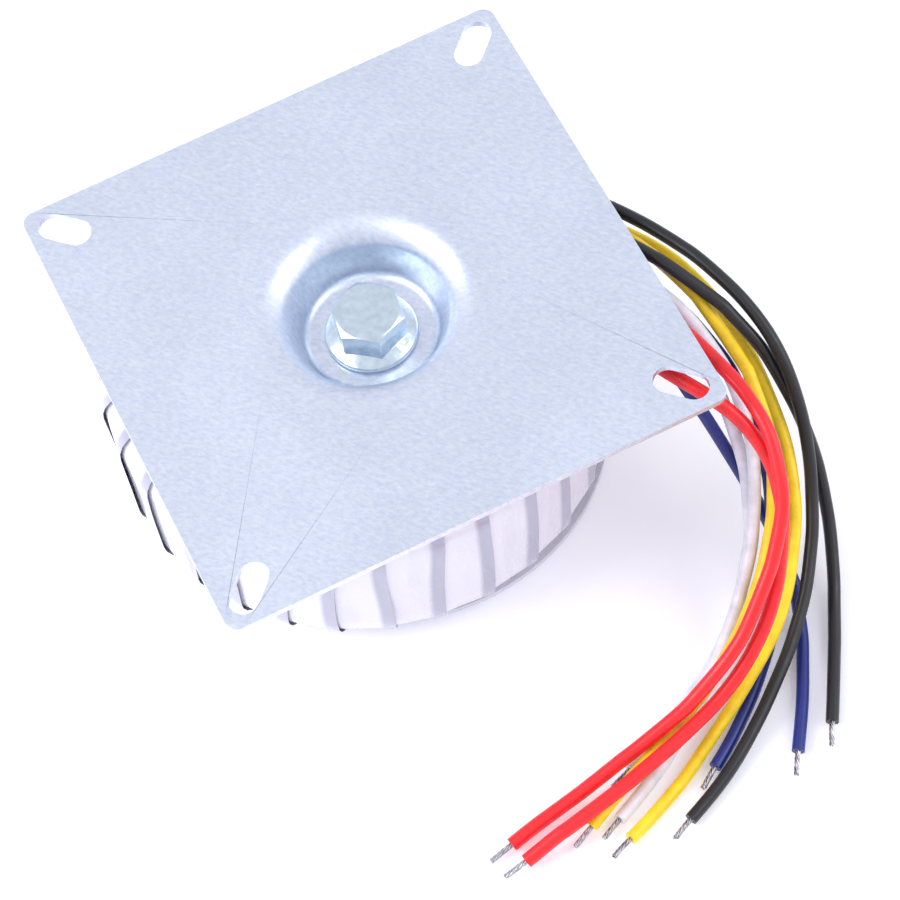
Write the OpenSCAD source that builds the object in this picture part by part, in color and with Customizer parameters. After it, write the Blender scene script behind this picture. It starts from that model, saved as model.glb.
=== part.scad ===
// Toroidal mains transformer, 50 VA class, clamped to a square dished mounting plate.
// It lies as it is handled before fitting: the plate's mounting face is up, and the
// clamping disc rests on the surface. X and Y run through the four diagonal slots, so
// the plate's sides lie at 45 degrees to them. Z is the clamp bolt's axis. Millimetres.

/* [Mounting plate] */
// Side of the square plate
plate_side = 80; // [60:1:130]
// Sheet thickness of the plate
plate_t = 1.2; // [0.8:0.1:2]
// Radius of the plate's corners
plate_corner_r = 2; // [0.5:0.5:6]
// Distance between the centres of two opposite slots, across the diagonal
slot_centres = 98; // [70:1:160]
// Overall length of a slot, along the diagonal
slot_length = 8.5; // [5:0.5:14]
// Width of a slot, a clearance for an M4 screw
slot_width = 4.5; // [3.2:0.1:6.6]

/* [Pressed dishes] */
// Diameter where the plate's face starts to turn into its dish
dish_rim_d = 30; // [24:0.5:40]
// Diameter of the flat floor of the plate's dish
dish_floor_d = 23.4; // [18:0.2:34]
// Depth of the plate's dish, face to floor
dish_depth = 8.4; // [6:0.2:12]
// Diameter where the disc's face starts to turn into its dish
disc_rim_d = 28; // [22:0.5:36]
// Diameter of the flat floor of the disc's dish
disc_floor_d = 20.4; // [16:0.2:30]
// Depth of the disc's dish, face to floor
disc_depth = 11; // [8:0.2:14]
// Radius of the face where it rolls over into a dish
rim_bend_r = 2; // [1.5:0.1:3]
// Inside radius at the foot of a dish
floor_bend_r = 0.8; // [0.4:0.1:1.5]

/* [Clamping disc and pads] */
// Diameter of the clamping disc
disc_d = 66; // [50:1:76]
// Sheet thickness of the clamping disc
disc_t = 1.2; // [0.8:0.1:2]
// Thickness of each neoprene pad
pad_t = 1; // [0.5:0.1:3]
// Outside diameter of the pads
pad_od = 68; // [50:1:76]
// Gap all round between a dish and the hole of its pad
pad_clear = 0.5; // [0.2:0.1:3]

/* [Clamp bolt] */
// Thread diameter of the bolt
bolt_d = 6; // [5:1:8]
// Width across the flats of the bolt head and of the nut
hex_af = 10; // [8:0.5:13]
// Height of the bolt head, with its flange
head_h = 6.5; // [4:0.1:8]
// Diameter of the flange under the head
flange_d = 14.2; // [12:0.1:18]
// Thickness of the flange at its edge
flange_edge_t = 1.2; // [0.8:0.1:2]
// Angle of the flange's upper side
flange_slope = 20; // [10:1:30]
// Radial gap between the bolt and the holes in the two dish floors
hole_clear = 0.3; // [0.1:0.05:1]
// Radial gap between the bolt and the washers
washer_clear = 0.2; // [0.1:0.05:0.6]
// Radial gap between the bolt and the nut's thread
thread_clear = 0.05; // [0.02:0.01:0.15]
// Diameter of the flat washer
washer_d = 12; // [10:0.5:18]
// Thickness of the flat washer
washer_t = 1.6; // [0.8:0.1:2.5]
// Outside diameter of the spring washer
spring_washer_d = 11; // [9:0.1:14]
// Thickness of the spring washer
spring_washer_t = 1.6; // [1:0.1:2.5]
// Width of the cut in the spring washer
spring_washer_cut = 0.8; // [0.4:0.1:2]
// Height of the nut
nut_h = 5; // [3:0.1:7]
// Length of thread past the nut
thread_out = 1.8; // [0.5:0.1:3]
// Chamfer at the bolt's tip
tip_chamfer = 0.7; // [0.3:0.1:1.2]

/* [Core and windings] */
// Outside diameter of the strip-wound core
core_od = 70; // [55:1:90]
// Inside diameter of the core
core_id = 46; // [40:1:60]
// Height of the core, the width of its steel strip
core_h = 28; // [15:1:45]
// Edge radius of the core
core_edge_r = 1.2; // [0.5:0.1:2]
// Thickness of the tape on the core
core_tape_t = 0.4; // [0.2:0.1:1]
// Build of the primary on the rim of the ring
primary_rim_t = 1.5; // [1:0.1:4]
// Build of the primary on the two ends of the ring
primary_end_t = 1.3; // [1:0.1:4]
// Build of the primary in the bore, where its turns crowd together
primary_bore_t = 1.9; // [1:0.1:5]
// Radius of the primary's corners at the rim
primary_rim_r = 5.6; // [3:0.1:6.5]
// Radius of the primary's corners in the bore
primary_bore_r = 3.6; // [2.5:0.1:6]
// Thickness of the film between primary and secondary
barrier_t = 0.3; // [0.1:0.1:1]
// Diameter of the secondary's wire
wire_d = 0.9; // [0.4:0.05:1.6]
// Build of the secondary in the bore
secondary_bore_t = 1.4; // [0.9:0.1:3]
// Radius of the secondary's corners at the rim
secondary_rim_r = 8; // [6:0.1:9]
// Radius of the secondary's corners in the bore
secondary_bore_r = 5.4; // [4:0.1:8]
// Number of turns that show on the secondary
turns = 72; // [40:4:90]
// Depth of the groove between two turns
turn_groove = 0.2; // [0.05:0.05:0.3]

/* [Film wrap] */
// Thickness of the wrap where one strip laps over the next
wrap_t = 0.6; // [0.4:0.05:1.5]
// Step down from a strip's free edge to the strip under it
lap_step = 0.25; // [0.05:0.05:0.35]
// Number of strip laps round the ring
laps = 30; // [16:1:40]
// Gap between the film and the crests of the turns
film_gap = 0.05; // [0.02:0.01:0.2]
// How far the coil sits off the bolt's axis, within the play of its bore
coil_shift = 3.8; // [0:0.1:4]
// Direction of that offset, from the X axis
coil_shift_angle = 205; // [0:5:355]

/* [Leads] */
// Diameter over the insulation of the ordinary leads
lead_d = 2; // [1.4:0.1:2]
// Diameter over the insulation of the two heavier red leads
heavy_lead_d = 2.2; // [1.6:0.1:2.2]
// Diameter of the bare twisted strands
strand_d = 0.8; // [0.4:0.1:1.2]
// Length of bare strands past the insulation
strip_length = 4; // [2:0.5:10]

/* [Hidden] */
$fn = 96;
eps = 0.01;

// Heights, from the surface up
coil_h = core_h + 2 * (core_tape_t + primary_end_t + barrier_t + wire_d + wrap_t);
lower_pad_z = disc_t;
coil_z = lower_pad_z + pad_t;
coil_mid_z = coil_z + coil_h / 2;
upper_pad_z = coil_z + coil_h;
plate_z = upper_pad_z + pad_t;
top_z = plate_z + plate_t;
bearing_z = top_z - dish_depth;
washer_z = disc_depth - washer_t;
spring_washer_z = washer_z - spring_washer_t;
nut_z = spring_washer_z - nut_h;
bolt_tip_z = nut_z - thread_out;
coil_at = coil_shift * [cos(coil_shift_angle), sin(coil_shift_angle), 0];

// ---------------------------------------------------------------- pressed sheet

// Points on an arc about c, from angle a to angle b in n steps
function arc(c, r, a, b, n) =
    [for (i = [0:n]) let (t = a + (b - a) * i / n) c + r * [cos(t), sin(t)]];

// Angle of a dish's wall: the line tangent to both bends
function wall_angle(run, depth, bends) =
    atan2(depth - bends, run) + asin(bends / norm([run, depth - bends]));

// Half section of a sheet with a pressed dish, face at height 0, from the hole out
// to the flat just past the bend. The two bends share their centres top and bottom.
function dish_section(rim_d, floor_d, depth, t, hole_d) =
    let (a = wall_angle((rim_d - floor_d) / 2, depth, rim_bend_r + floor_bend_r),
         top = [rim_d / 2, -rim_bend_r],
         foot = [floor_d / 2, -depth + floor_bend_r])
    concat([[hole_d / 2, -depth]],
           arc(foot, floor_bend_r, -90, a - 90, 6),
           arc(top, rim_bend_r, 90 + a, 90, 8),
           [[rim_d / 2 + t, 0], [rim_d / 2 + t, -t]],
           arc(top, rim_bend_r - t, 90, 90 + a, 8),
           arc(foot, floor_bend_r + t, a - 90, -90, 6),
           [[hole_d / 2, -depth - t]]);

module dish(rim_d, floor_d, depth, t) {
    rotate_extrude()
        polygon(dish_section(rim_d, floor_d, depth, t, bolt_d + 2 * hole_clear));
}

module slot() {
    travel = slot_length - slot_width;
    for (s = [-1, 1])
        translate([s * travel / 2, 0, plate_z - 1])
            cylinder(d = slot_width, h = plate_t + 2);
    translate([-travel / 2, -slot_width / 2, plate_z - 1])
        cube([travel, slot_width, plate_t + 2]);
}

// Square sheet with rounded corners, four slots on the diagonals and a dish for the bolt
module mounting_plate() {
    c = plate_side / 2 - plate_corner_r;
    color([0.82, 0.85, 0.91])
    union() {
        difference() {
            rotate([0, 0, 45])
                translate([0, 0, plate_z])
                    union() {
                        for (x = [-c, c], y = [-c, c])
                            translate([x, y, 0]) cylinder(r = plate_corner_r, h = plate_t);
                        translate([-c, -plate_side / 2, 0]) cube([2 * c, plate_side, plate_t]);
                        translate([-plate_side / 2, -c, 0]) cube([plate_side, 2 * c, plate_t]);
                    }
            translate([0, 0, plate_z - 1]) cylinder(d = dish_rim_d + plate_t, h = plate_t + 2);
            for (i = [0:3]) rotate([0, 0, 90 * i]) translate([slot_centres / 2, 0, 0]) slot();
        }
        translate([0, 0, top_z]) dish(dish_rim_d, dish_floor_d, dish_depth, plate_t);
    }
}

// Round washer plate under the coil, dished upward so that the nut stays inside it
module clamp_disc() {
    color([0.78, 0.81, 0.86])
    union() {
        difference() {
            cylinder(d = disc_d, h = disc_t);
            translate([0, 0, -1]) cylinder(d = disc_rim_d + disc_t, h = disc_t + 2);
        }
        mirror([0, 0, 1]) dish(disc_rim_d, disc_floor_d, disc_depth, disc_t);
    }
}

module pad(z, rim_d) {
    color([0.16, 0.16, 0.17])
    translate([0, 0, z])
    difference() {
        cylinder(d = pad_od, h = pad_t);
        translate([0, 0, -1]) cylinder(d = rim_d + 2 * pad_clear, h = pad_t + 2);
    }
}

module upper_pad() { pad(upper_pad_z, dish_rim_d); }
module lower_pad() { pad(lower_pad_z, disc_rim_d); }

// ---------------------------------------------------------------- bolt, washers, nut

// Hexagonal prism with its upper end turned to a cone, as forged heads and nuts have,
// left at the angle at which the nut was tightened
module hex_body(af, h) {
    corner_d = af / cos(30);
    face_d = af * 0.95;
    fall = (corner_d - face_d) / 2 * tan(30);
    intersection() {
        rotate([0, 0, 7]) cylinder(d = corner_d, h = h, $fn = 6);
        rotate_extrude()
            polygon([[0, 0], [corner_d / 2 + eps, 0], [corner_d / 2 + eps, h - fall],
                     [face_d / 2, h], [0, h]]);
    }
}

// Flange bolt: its collar bears on the dish's floor, the head stays below the plate's face
module clamp_bolt() {
    color([0.72, 0.80, 0.86])
    union() {
        translate([0, 0, bearing_z]) {
            rotate_extrude()
                polygon([[0, 0], [flange_d / 2 - 0.4, 0], [flange_d / 2, 0.4],
                         [flange_d / 2, flange_edge_t - 0.3],
                         [flange_d / 2 - 0.3, flange_edge_t],
                         [hex_af / 2 - 0.4,
                          flange_edge_t + (flange_d - hex_af) / 2 * tan(flange_slope)],
                         [0, flange_edge_t + (flange_d - hex_af) / 2 * tan(flange_slope)]]);
            translate([0, 0, flange_edge_t])
                hex_body(hex_af, head_h - flange_edge_t);
        }
        rotate_extrude()
            polygon([[0, bolt_tip_z], [bolt_d / 2 - tip_chamfer, bolt_tip_z],
                     [bolt_d / 2, bolt_tip_z + tip_chamfer],
                     [bolt_d / 2, bearing_z + eps], [0, bearing_z + eps]]);
    }
}

module flat_washer() {
    color([0.80, 0.83, 0.87])
    translate([0, 0, washer_z])
    difference() {
        cylinder(d = washer_d, h = washer_t);
        translate([0, 0, -1]) cylinder(d = bolt_d + 2 * washer_clear, h = washer_t + 2);
    }
}

// Spring washer, flattened by the nut, with its slanting cut
module spring_washer() {
    color([0.70, 0.73, 0.78])
    translate([0, 0, spring_washer_z])
    difference() {
        cylinder(d = spring_washer_d, h = spring_washer_t);
        translate([0, 0, -1]) cylinder(d = bolt_d + 2 * washer_clear, h = spring_washer_t + 2);
        translate([bolt_d / 2 - 1, 0, spring_washer_t / 2])
            rotate([30, 0, 0])
                translate([0, -spring_washer_cut / 2, -spring_washer_t * 2])
                    cube([spring_washer_d, spring_washer_cut, spring_washer_t * 4]);
    }
}

module clamp_nut() {
    color([0.76, 0.80, 0.85])
    translate([0, 0, nut_z])
    difference() {
        intersection() {
            hex_body(hex_af, nut_h);
            translate([0, 0, nut_h]) mirror([0, 0, 1]) hex_body(hex_af, nut_h);
        }
        translate([0, 0, -1]) cylinder(d = bolt_d + 2 * thread_clear, h = nut_h + 2);
    }
}

// ---------------------------------------------------------------- core and windings

// A layer of the coil is [bore radius, rim radius, half height, bore corner, rim corner]
core_s = [core_id / 2, core_od / 2, core_h / 2, core_edge_r, core_edge_r];
function over(s, bore, rim, end, bore_r, rim_r) =
    [s[0] - bore, s[1] + rim, s[2] + end, bore_r, rim_r];
function evenly(s, t) = over(s, t, t, t, s[3] + t, s[4] + t);
tape_s = evenly(core_s, core_tape_t);
primary_s = over(tape_s, primary_bore_t, primary_rim_t, primary_end_t,
                 primary_bore_r, primary_rim_r);
barrier_s = evenly(primary_s, barrier_t);
secondary_s = over(barrier_s, secondary_bore_t, wire_d, wire_d,
                   secondary_bore_r, secondary_rim_r);
wrap_s = evenly(secondary_s, wrap_t);

// Outline of a layer in the half plane [radius, height], from the foot of the rim
// corner round by the rim, the top, the bore and the underside. n steps a corner.
function outline(s, n, d = 0) =
    concat(arc([s[1] - s[4], -s[2] + s[4]], s[4] + d, -90, 0, n),
           arc([s[1] - s[4], s[2] - s[4]], s[4] + d, 0, 90, n),
           arc([s[0] + s[3], s[2] - s[3]], s[3] + d, 90, 180, n),
           arc([s[0] + s[3], -s[2] + s[3]], s[3] + d, 180, 270, n));

module ring(s, n = 6, d = 0) { rotate_extrude($fn = 288) polygon(outline(s, n, d)); }

// A shell between two layers, all of it turned
module layer(outer, inner, n = 6) {
    translate(coil_at + [0, 0, coil_mid_z])
        difference() { ring(outer, n); ring(inner, n); }
}

// Closed surface through columns of section points round the ring. Each column is one
// section, and wind is how many columns the section has moved on when it closes.
module ring_skin(columns, wind = 0) {
    m = len(columns);
    n = len(columns[0]);
    polyhedron(points = [for (c = columns) each c],
               faces = [for (i = [0:m - 1], k = [0:n - 1])
                        let (j = (i + 1) % m,
                             last = k == n - 1,
                             i2 = last ? (i + wind) % m : i,
                             j2 = last ? (j + wind) % m : j,
                             k2 = (k + 1) % n)
                        each [[i * n + k, i2 * n + k2, j * n + k],
                              [j * n + k, i2 * n + k2, j2 * n + k2]]]);
}

function turned(p, a) = [p[0] * cos(a), p[0] * sin(a), p[1]];

// Strip-wound grain-oriented steel
module core() {
    color([0.45, 0.46, 0.50])
        translate(coil_at + [0, 0, coil_mid_z]) ring(core_s, 3);
}

module core_tape() { color([0.93, 0.86, 0.60]) layer(tape_s, core_s, 3); }

module primary_winding() { color([0.62, 0.34, 0.22]) layer(primary_s, tape_s, 3); }

module barrier_film() { color([0.90, 0.88, 0.80]) layer(barrier_s, primary_s, 3); }

// One layer of enamelled wire: a crest for each turn and a groove between two
module secondary_winding() {
    color([0.77, 0.54, 0.49])
    translate(coil_at + [0, 0, coil_mid_z])
    difference() {
        ring_skin([for (i = [0:2 * turns - 1])
                   let (s = outline(secondary_s, 3, -(i % 2) * turn_groove))
                   [for (p = s) turned(p, 180 * i / turns)]]);
        ring(barrier_s, 3);
    }
}

// Film wound helically through the bore: every strip laps over the one before it, so
// the surface climbs to each free edge and steps down behind it, and one pass round
// the section carries the strip on by one lap.
module outer_wrap() {
    n = 6;
    pitch = 360 / laps;
    edge = 0.12;
    color([0.86, 0.85, 0.91, 0.75])
    translate(coil_at + [0, 0, coil_mid_z])
    difference() {
        ring_skin([for (i = [0:2 * laps - 1])
                   let (high = i % 2,
                        s = outline(wrap_s, n, -(1 - high) * lap_step),
                        at = pitch * (floor(i / 2) + high * (1 - edge)))
                   [for (k = [0:len(s) - 1]) turned(s[k], at + pitch * k / len(s))]],
                  wind = 2);
        ring(secondary_s, n, film_gap);
    }
}

// ---------------------------------------------------------------- leads

function unit(v) = v / norm(v);

// Centreline of a lead: each inner point eased between its neighbours
function eased(p) =
    [for (i = [0:len(p) - 1])
        (i == 0 || i == len(p) - 1) ? p[i] : (p[i - 1] + 4 * p[i] + p[i + 1]) / 6];

function heading(p, i) = unit(p[min(i + 1, len(p) - 1)] - p[max(i - 1, 0)]);

// Round cord along a route, eight-sided, one ring of points at each route point
module cord(route, d) {
    p = eased(route);
    n = 8;
    m = len(p);
    polyhedron(
        points = [for (i = [0:m - 1])
                  let (t = heading(p, i), side = unit(cross(t, [0, 0, 1])),
                       up = cross(side, t))
                  for (k = [0:n - 1])
                  p[i] + d / 2 * (cos(360 * (k + 0.5) / n) * side
                                  + sin(360 * (k + 0.5) / n) * up)],
        faces = concat([[for (k = [0:n - 1]) k]],
                       [for (i = [0:m - 2], k = [0:n - 1])
                        let (a = i * n + k, b = i * n + (k + 1) % n)
                        each [[a, a + n, b], [b, a + n, b + n]]],
                       [[for (k = [n - 1:-1:0]) (m - 1) * n + k]]));
}

// Bare twisted strands, straight on from the cut end of the insulation
module strands(route) {
    p = eased(route);
    t = heading(p, len(p) - 1);
    color([0.78, 0.78, 0.80])
    translate(p[len(p) - 1])
        rotate([0, acos(t[2]), atan2(t[1], t[0])])
            cylinder(d = strand_d, h = strip_length, $fn = 24);
}

// Routes of the leads, from where each leaves the wrap to the end of its insulation.
// They come out side by side under the plate, drop over the rim, and lie as they fell.
black_1 = [[18, 31.5, 32.5], [19, 31.5, 32.5], [27, 30, 33.5], [31, 29, 33.5], [35, 28, 33.5],
    [41, 26, 33], [43.5, 25, 33], [50, 22, 31.5], [53.5, 20, 30], [56.5, 18, 28.5], [60, 15, 26],
    [63, 11.5, 22], [65, 8.5, 19], [67, 4.5, 15.5], [68, 1.5, 13], [69.5, -3, 10.5], [70, -6, 9],
    [71, -11.5, 7], [71, -16.5, 5.5], [71, -21, 4.5], [70.5, -25.5, 4], [70, -30, 3],
    [69, -36, 2.5], [68, -40.5, 2], [66.5, -45, 1.5], [64.5, -50, 1.5]];
black_2 = [[23.5, 27, 33.5], [27.5, 25.5, 34], [33, 23.5, 35], [37.5, 22, 35], [39, 21.5, 35.5],
    [50, 18.5, 31.5], [49.5, 18.5, 31.5], [55.5, 16.5, 27], [58, 15, 24.5], [61.5, 12.5, 20.5],
    [63.5, 11, 18], [66, 8.5, 14.5], [68, 6, 11.5], [70.5, 1.5, 7.5], [71.5, -0.5, 6],
    [74, -7, 2.5], [74.5, -9, 2], [76.5, -15.5, 1.5], [77, -17.5, 1.5], [79, -25, 1.5],
    [80, -29, 1.5]];
yellow_1 = [[21.5, 29, 31.5], [27, 27.5, 32], [27.5, 27.5, 32], [35.5, 24.5, 32.5],
    [40.5, 22, 32], [45, 19.5, 31], [45, 19.5, 31], [51.5, 14.5, 29], [56, 10.5, 27.5],
    [55, 11.5, 28], [60, 5.5, 24.5], [62, 2, 21.5], [63.5, -3.5, 17.5], [64, -5, 16],
    [64.5, -11.5, 12], [64.5, -14, 11], [64, -19.5, 9], [63.5, -23, 8], [62, -28.5, 6.5],
    [60.5, -33, 5.5], [58, -39, 4.5], [57.5, -40, 4.5], [54.5, -47, 3.5], [53, -50.5, 3],
    [51, -55.5, 2]];
yellow_2 = [[21.5, 30, 29], [25.5, 29.5, 29], [32.5, 28, 29.5], [36, 27, 29.5], [40, 25.5, 29.5],
    [45.5, 22.5, 28.5], [48.5, 20.5, 27.5], [52.5, 17.5, 25], [55.5, 15, 23], [59.5, 10.5, 19.5],
    [61.5, 8, 18], [63.5, 5, 16.5], [66, -0.5, 14], [67, -3.5, 12.5], [68, -9, 10],
    [68.5, -13, 8.5], [68.5, -17, 7], [68, -21.5, 5.5], [66, -29, 3.5], [65.5, -31, 3],
    [63.5, -37.5, 2], [62.5, -41, 1.5], [61.5, -44.5, 1], [58.5, -52, 1], [57, -55.5, 1.5]];
white_1 = [[26.5, 24, 32.5], [29.5, 22.5, 33], [33.5, 20.5, 33.5], [42.5, 16.5, 32.5],
    [42.5, 16.5, 32.5], [46.5, 14.5, 31.5], [52.5, 10, 28.5], [54.5, 8, 27], [58, 3.5, 23],
    [59, 1.5, 21], [60.5, -2.5, 17.5], [61.5, -7.5, 13.5], [62, -10, 12], [62, -15.5, 9],
    [62, -18.5, 7.5], [61.5, -24.5, 5], [61, -28, 4], [60, -34.5, 2.5], [59, -38.5, 2],
    [58, -43, 1.5], [56, -49, 1.5], [54.5, -53, 1.5]];
white_2 = [[28.5, 22.5, 27.5], [33.5, 19.5, 28.5], [35.5, 18.5, 29], [42, 15, 29.5],
    [44.5, 13.5, 29], [49.5, 10, 27.5], [51.5, 8, 26], [54.5, 5, 23], [57.5, 1, 18.5],
    [58.5, -0.5, 17], [61, -7, 10.5], [61, -8.5, 9.5], [61.5, -13, 6.5], [61.5, -16.5, 5],
    [61, -22, 3], [60, -26.5, 2], [59, -30, 1.5], [56, -38, 1], [55.5, -39.5, 1],
    [53.5, -45, 1.5]];
red_1 = [[30.5, 18.5, 32.5], [35.5, 16, 33.5], [40, 14, 34], [44, 12, 34.5], [48, 10, 34.5],
    [55.5, 5.5, 34], [57.5, 4, 33.5], [61.5, 0.5, 32.5], [63.5, -2, 31], [66, -6.5, 28],
    [67, -9.5, 25.5], [67, -15.5, 21], [67, -16, 20.5], [65.5, -25, 14.5], [64.5, -27, 13.5],
    [64, -28.5, 12.5], [60, -35.5, 8.5], [59, -37, 8], [53.5, -44, 5], [53, -44.5, 5],
    [48.5, -50.5, 3], [45.5, -54.5, 2.5], [42.5, -58.5, 2], [40.5, -61.5, 1.5]];
red_2 = [[32.5, 12.5, 33.5], [35.5, 9.5, 34], [40.5, 6, 34.5], [43.5, 4.5, 34.5], [48, 3, 34.5],
    [52, 2, 34], [56.5, 1, 32.5], [61, -1, 29.5], [64, -3.5, 26.5], [66, -7, 23.5],
    [66.5, -8, 22.5], [68, -15.5, 17.5], [68, -18, 16], [68, -21.5, 14], [66.5, -27.5, 10.5],
    [64.5, -32, 8.5], [63, -35, 7.5], [59.5, -41, 6.5], [59, -42, 6.5], [54.5, -49, 5.5],
    [53.5, -50.5, 5.5], [47, -59, 3.5], [48, -57.5, 4], [43.5, -63.5, 2]];
blue_1 = [[31.5, 18, 28.5], [36, 14.5, 29.5], [38.5, 12.5, 30], [45, 7.5, 29.5], [45.5, 7, 29],
    [49.5, 4.5, 26], [52.5, 3, 22], [54.5, 2, 19], [59.5, -0.5, 11.5], [61.5, -2, 9],
    [63.5, -3.5, 6.5], [69, -10, 2.5], [68, -8.5, 3], [72, -17, 1.5], [72.5, -19, 1.5],
    [74.5, -25.5, 1.5], [75.5, -30, 1.5], [76.5, -35, 1.5]];
blue_2 = [[29.5, 21.5, 31], [35, 20, 31], [37, 19.5, 31], [43.5, 17, 30], [45.5, 16, 29.5],
    [51, 12.5, 27.5], [53, 11, 26.5], [56.5, 7.5, 23.5], [59.5, 4, 19.5], [61.5, 1, 16],
    [62.5, -1.5, 13], [63.5, -4, 10.5], [65.5, -9.5, 6], [66.5, -12.5, 4.5], [67.5, -18, 2.5],
    [67.5, -21.5, 2], [67.5, -27.5, 1.5], [67, -32, 1.5], [66.5, -36.5, 1.5], [65.5, -41, 1.5]];

module lead_black_1() { color([0.14, 0.14, 0.16]) cord(black_1, lead_d); }
module lead_black_2() { color([0.14, 0.14, 0.16]) cord(black_2, lead_d); }
module lead_yellow_1() { color([0.97, 0.80, 0.18]) cord(yellow_1, lead_d); }
module lead_yellow_2() { color([0.97, 0.80, 0.18]) cord(yellow_2, lead_d); }
module lead_white_1() { color([0.93, 0.92, 0.95]) cord(white_1, lead_d); }
module lead_white_2() { color([0.93, 0.92, 0.95]) cord(white_2, lead_d); }
module lead_red_1() { color([0.90, 0.16, 0.16]) cord(red_1, heavy_lead_d); }
module lead_red_2() { color([0.90, 0.16, 0.16]) cord(red_2, heavy_lead_d); }
module lead_blue_1() { color([0.12, 0.18, 0.52]) cord(blue_1, lead_d); }
module lead_blue_2() { color([0.12, 0.18, 0.52]) cord(blue_2, lead_d); }

module strands_black_1() { strands(black_1); }
module strands_black_2() { strands(black_2); }
module strands_yellow_1() { strands(yellow_1); }
module strands_yellow_2() { strands(yellow_2); }
module strands_white_1() { strands(white_1); }
module strands_white_2() { strands(white_2); }
module strands_red_1() { strands(red_1); }
module strands_red_2() { strands(red_2); }
module strands_blue_1() { strands(blue_1); }
module strands_blue_2() { strands(blue_2); }

mounting_plate();
clamp_bolt();
upper_pad();
outer_wrap();
secondary_winding();
barrier_film();
primary_winding();
core_tape();
core();
lower_pad();
clamp_disc();
flat_washer();
spring_washer();
clamp_nut();
lead_black_1();
lead_black_2();
lead_yellow_1();
lead_yellow_2();
lead_white_1();
lead_white_2();
lead_red_1();
lead_red_2();
lead_blue_1();
lead_blue_2();
strands_black_1();
strands_black_2();
strands_yellow_1();
strands_yellow_2();
strands_white_1();
strands_white_2();
strands_red_1();
strands_red_2();
strands_blue_1();
strands_blue_2();
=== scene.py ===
"""Looks of a toroidal transformer: pressed zinc plate, film-wrapped copper ring, loose leads."""

import math
import random

import bmesh
import bpy
from mathutils import Euler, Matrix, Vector, noise


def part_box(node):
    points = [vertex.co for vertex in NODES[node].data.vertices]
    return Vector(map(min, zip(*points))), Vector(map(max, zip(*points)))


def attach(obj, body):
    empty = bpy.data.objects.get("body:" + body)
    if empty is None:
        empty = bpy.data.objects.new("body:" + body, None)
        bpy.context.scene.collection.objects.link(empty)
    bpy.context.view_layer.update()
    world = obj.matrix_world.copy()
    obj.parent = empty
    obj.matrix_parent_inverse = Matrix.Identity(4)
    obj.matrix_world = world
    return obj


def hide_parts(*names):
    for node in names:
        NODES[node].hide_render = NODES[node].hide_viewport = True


bl_info = {
    "name": "Toroidal transformer",
    "version": (1, 0, 0),
    "blender": (4, 5, 0),
    "location": "View3D > Sidebar > Transformer",
    "description": "Dresses the packed solids of a toroidal transformer",
    "category": "Object",
}

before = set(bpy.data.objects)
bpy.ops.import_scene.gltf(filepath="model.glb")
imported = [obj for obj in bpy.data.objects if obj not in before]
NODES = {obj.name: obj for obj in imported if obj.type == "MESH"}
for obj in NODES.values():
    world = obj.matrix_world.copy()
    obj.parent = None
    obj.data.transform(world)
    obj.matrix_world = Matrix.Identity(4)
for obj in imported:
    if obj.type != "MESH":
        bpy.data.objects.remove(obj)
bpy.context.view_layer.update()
MM = 0.001

# The coil's place and size, read from its solids
WRAP_LOW, WRAP_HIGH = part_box("outer_wrap")
WINDING_LOW, WINDING_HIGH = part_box("secondary_winding")
COIL = (WRAP_LOW + WRAP_HIGH) / 2
PLATE_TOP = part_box("mounting_plate")[1].z
PLATE_T = 1.2 * MM
PLATE_SIDE = 80 * MM
PLATE_CORNER = 2 * MM
SLOT_AT = 49 * MM
SLOT_LENGTH = 8.5 * MM
SLOT_WIDTH = 4.5 * MM
BOLT_HOLE_R = 3.3 * MM
BEARING_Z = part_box("mounting_plate")[0].z + PLATE_T
WRAP_BORE_R = 18.4 * MM
WINDING_BORE_R = 19.0 * MM

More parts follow.
